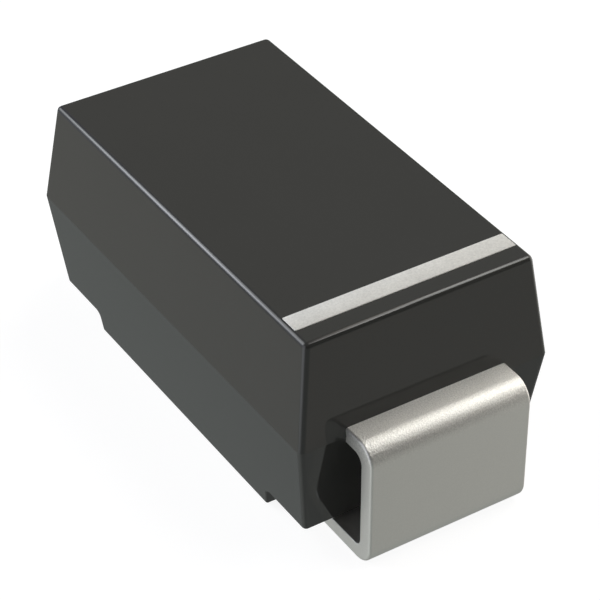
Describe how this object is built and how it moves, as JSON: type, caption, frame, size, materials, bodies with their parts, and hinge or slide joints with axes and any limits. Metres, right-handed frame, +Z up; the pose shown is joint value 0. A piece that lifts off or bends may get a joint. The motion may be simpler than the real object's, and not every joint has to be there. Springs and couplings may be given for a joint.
{
  "type": "surface-mount tvs diode",
  "caption": "Moulded surface-mount suppressor diode: drafted dark epoxy body with a pale cathode band across the top and a flat J-bent tinned lead folded under each end.",
  "frame": {"origin": "middle of the package's footprint, on the plane of the undersides of its two feet (the board surface)", "axes": "+X along the package towards the cathode (banded) end, +Y across the package, +Z up from the board"},
  "size_m": [0.0052, 0.0026, 0.0022],
  "materials": {
    "epoxy_mold": "satin moulded epoxy, near black",
    "tinned_lead": "matte tin plating over copper alloy",
    "marking_ink": "pale grey marking ink",
    "silicon": "sawn and polished silicon",
    "passivation_glass": "fused passivation glass",
    "solder": "reflowed high-lead solder",
    "clip_copper": "bare rolled copper"
  },
  "bodies": {
    "root": {"mold_body": "epoxy_mold", "cathode_lead": "tinned_lead", "anode_lead": "tinned_lead", "cathode_band": "marking_ink", "silicon_die": "silicon", "passivation_glass": "passivation_glass", "die_attach_solder": "solder", "die_top_solder": "solder", "clip_post_solder": "solder", "connecting_clip": "clip_copper"}
  },
  "joints": []
}
